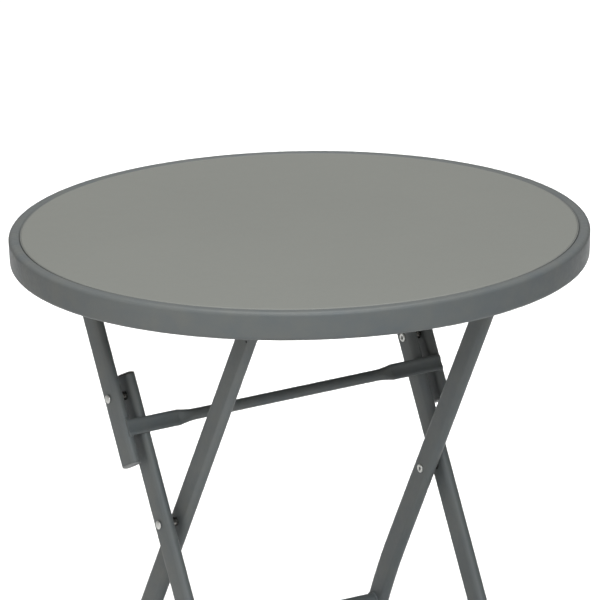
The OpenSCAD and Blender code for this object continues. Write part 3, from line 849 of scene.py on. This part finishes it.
for word, side in SIDES.items():
    build_inner_leg(word, side)
    build_outer_leg(word, side)
    build_link(word, side)
    build_foot(f"inner_shoe_{word}", "inner_legs", f"inner_foot_{word}",
               side * INNER_X, INNER_FOOT, FOOT_LEAN)
    build_foot(f"outer_shoe_{word}", "outer_legs", f"outer_foot_{word}",
               side * OUTER_X, OUTER_FOOT, OUTER_LEAN)
    build_plugs(f"inner_cap_{word}", "inner_legs", f"inner_plug_{word}",
                [(side * INNER_X, INNER_TOP, INNER_LEAN, 1)], PLASTIC)
    build_plugs(f"outer_cap_{word}", "outer_legs", f"outer_plug_{word}",
                [(side * OUTER_X, OUTER_TOP, OUTER_LEAN, 1)], PLASTIC)

# the lower caps take the lighter plastic, painted light from the floor below
build_plugs("link_caps_low", "links", "link_lower_plugs",
            [(side * LINK_X, LINK_LOW, OUTER_LEAN, -1) for side in SIDES.values()], FLOOR_LIT_PLASTIC)
build_plugs("link_caps_high", "links", "link_upper_plugs",
            [(side * LINK_X, LINK_HIGH, OUTER_LEAN, 1) for side in SIDES.values()], PLASTIC)
build_stretcher("stretcher_inner", "inner_legs", "inner_stretcher")
build_stretcher("stretcher_outer", "outer_legs", "outer_stretcher")
build_crossbar()

build_rivets("scissor_rivet_pair", "inner_legs", "scissor_rivets", SCISSOR,
             INNER_X - FACE, OUTER_X + FACE + MOVE_GAP)
build_rivets("link_rivet_pair", "outer_legs", "link_rivets", LINK_PIVOT,
             OUTER_X - FACE, LINK_X + FACE + MOVE_GAP)
build_rivets("rear_rivet_pair", "table_top", "rear_pivot_rivets", REAR_PIVOT,
             LINK_X - FACE - MOVE_GAP, LINK_X + FACE + MOVE_GAP + BRACKET_T)
build_rivets("front_rivet_pair", "inner_legs", "front_pivot_rivets", FRONT_PIVOT,
             INNER_X - FACE, INNER_X + FACE, rolled=False)
build_rivets("bracket_rivet_pair", "table_top", "front_bracket_rivets", FRONT_PIVOT,
             INNER_X - FACE - MOVE_GAP - BRACKET_T, INNER_X - FACE - MOVE_GAP, domed=False)
build_spacers("scissor_spacer_pair", "inner_legs", "scissor_spacers", SCISSOR,
              INNER_X + FACE, OUTER_X - FACE - MOVE_GAP)
build_spacers("link_spacer_pair", "outer_legs", "link_spacers", LINK_PIVOT,
              OUTER_X + FACE, LINK_X - FACE - MOVE_GAP)


# ---------------------------------------------------------------- stage, light and camera

def build_floor():
    """A plain pale floor, wide enough to reach past any view of it."""
    half = 60
    material = bpy.data.materials.new("pale_floor")
    material.use_nodes = True
    shader = material.node_tree.nodes["Principled BSDF"]
    shader.inputs["Base Color"].default_value = (0.86, 0.86, 0.86, 1)
    shader.inputs["Roughness"].default_value = 0.9
    bm = bmesh.new()
    bm.faces.new([bm.verts.new((x * half, y * half, 0)) for x, y in ((-1, -1), (1, -1), (1, 1), (-1, 1))])
    mesh = bpy.data.meshes.new("floor")
    bm.to_mesh(mesh)
    bm.free()
    mesh.materials.append(material)
    floor = bpy.data.objects.new("floor", mesh)
    bpy.context.scene.collection.objects.link(floor)


def area_light(name, place, aim, size, watts, colour, spread=180):
    """A softbox; a spread under 180 degrees stands for a grid on its front."""
    data = bpy.data.lights.new(name, "AREA")
    data.shape = "RECTANGLE"
    data.size, data.size_y = size
    data.energy = watts
    data.color = colour
    data.spread = math.radians(spread)
    light = bpy.data.objects.new(name, data)
    light.location = place
    light.rotation_mode = "QUATERNION"
    light.rotation_quaternion = (Vector(aim) - Vector(place)).to_track_quat("-Z", "Y")
    light.visible_camera = False
    bpy.context.scene.collection.objects.link(light)


def build_light():
    """Even white surroundings and four softboxes."""
    world = bpy.data.worlds.new("studio")
    world.use_nodes = True
    sky = world.node_tree.nodes["Background"]
    sky.inputs["Color"].default_value = (1.0, 1.0, 1.0, 1)
    sky.inputs["Strength"].default_value = 0.24
    bpy.context.scene.world = world
    centre = (0, 0, 0.5)
    area_light("overhead", place=(-0.3, -0.5, 3.2), aim=centre, size=(2.4, 2.4), watts=95,
               colour=(1.0, 1.0, 0.99))
    area_light("warm_left", place=(-1.75, -0.1, 0.9), aim=(0, 0, 0.45), size=(1.0, 1.3), watts=7.5,
               colour=(1.0, 0.965, 0.90))
    area_light("cool_front", place=(-1.2, -3.0, 2.4), aim=centre, size=(1.2, 1.2), watts=77,
               colour=(0.88, 0.95, 1.0))
    area_light("backdrop", place=(1.3, 1.95, 3.4), aim=(1.3, 1.95, 0), size=(2.4, 2.8), watts=28,
               colour=(1.0, 1.0, 1.0), spread=40)


def build_camera():
    """A long lens from the front left, the table's top above the middle of the frame."""
    azimuth, elevation, roll = math.radians(-33.29), math.radians(16.55), math.radians(-1.085)
    distance, field = 12.0, 0.62
    top_centre = Vector((0, 0, RIM_HIGH))
    top_in_frame = Vector((-0.00077, 0.0731))
    back = Vector((math.sin(azimuth) * math.cos(elevation), -math.cos(azimuth) * math.cos(elevation),
                   math.sin(elevation)))
    turn = (-back).to_track_quat("-Z", "Y") @ Quaternion((0, 0, 1), roll)
    data = bpy.data.cameras.new("camera")
    data.sensor_width = 36
    data.lens = data.sensor_width * distance / field
    data.clip_start, data.clip_end = 0.1, 200
    camera = bpy.data.objects.new("camera", data)
    camera.rotation_mode = "QUATERNION"
    camera.rotation_quaternion = turn
    right, rise = turn @ Vector((1, 0, 0)), turn @ Vector((0, 1, 0))
    camera.location = top_centre + back * distance - right * top_in_frame.x - rise * top_in_frame.y
    bpy.context.scene.collection.objects.link(camera)
    bpy.context.scene.camera = camera


build_floor()
build_light()
build_camera()
bpy.context.scene.view_settings.view_transform = "Standard"
bpy.context.scene.view_settings.look = "None"
